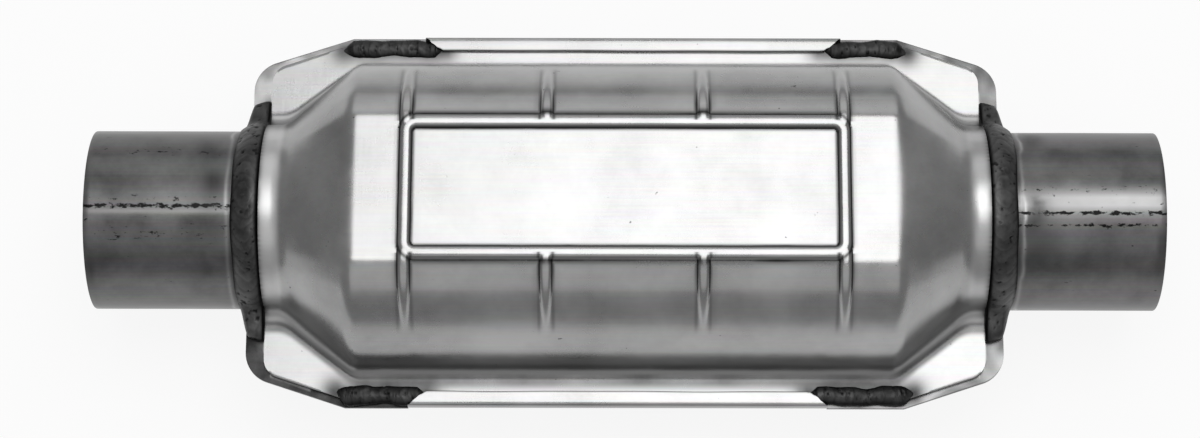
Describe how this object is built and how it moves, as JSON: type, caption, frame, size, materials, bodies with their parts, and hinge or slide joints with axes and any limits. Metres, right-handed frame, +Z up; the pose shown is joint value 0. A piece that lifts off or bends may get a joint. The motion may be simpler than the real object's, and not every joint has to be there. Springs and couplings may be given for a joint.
{
  "type": "catalytic converter",
  "caption": "Welded clamshell catalytic converter: ribbed flat-topped stamped shells with short end cones, folded side seams and a plain round pipe at each end.",
  "frame": {"origin": "on the pipes' common axis, halfway between the two pipe ends", "axes": "+X along the pipes towards the outlet end, +Y across the flanges towards the rear side, +Z up through the ribbed upper shell"},
  "size_m": [0.339, 0.1226, 0.0852],
  "materials": {
    "shell_steel": "mill-finish stamped ferritic stainless sheet",
    "pipe_steel": "mill-finish welded tube",
    "weld_metal": "dark oxidised MIG bead",
    "coated_ceramic": "matt washcoated honeycomb",
    "mat_fibre": "loose fibre mat with vermiculite flakes",
    "wire_mesh": "knitted stainless wire"
  },
  "bodies": {
    "root": {"upper_shell": "shell_steel", "lower_shell": "shell_steel", "inlet_pipe": "pipe_steel", "inlet_neck_weld": "weld_metal", "inlet_front_corner_weld": "weld_metal", "inlet_rear_corner_weld": "weld_metal", "inlet_monolith": "coated_ceramic", "inlet_mat": "mat_fibre", "inlet_outer_mesh_seal": "wire_mesh", "inlet_inner_mesh_seal": "wire_mesh", "inlet_seal_retainer": "shell_steel", "outlet_pipe": "pipe_steel", "outlet_neck_weld": "weld_metal", "outlet_front_corner_weld": "weld_metal", "outlet_rear_corner_weld": "weld_metal", "outlet_monolith": "coated_ceramic", "outlet_mat": "mat_fibre", "outlet_outer_mesh_seal": "wire_mesh", "outlet_inner_mesh_seal": "wire_mesh", "outlet_seal_retainer": "shell_steel"}
  },
  "joints": []
}
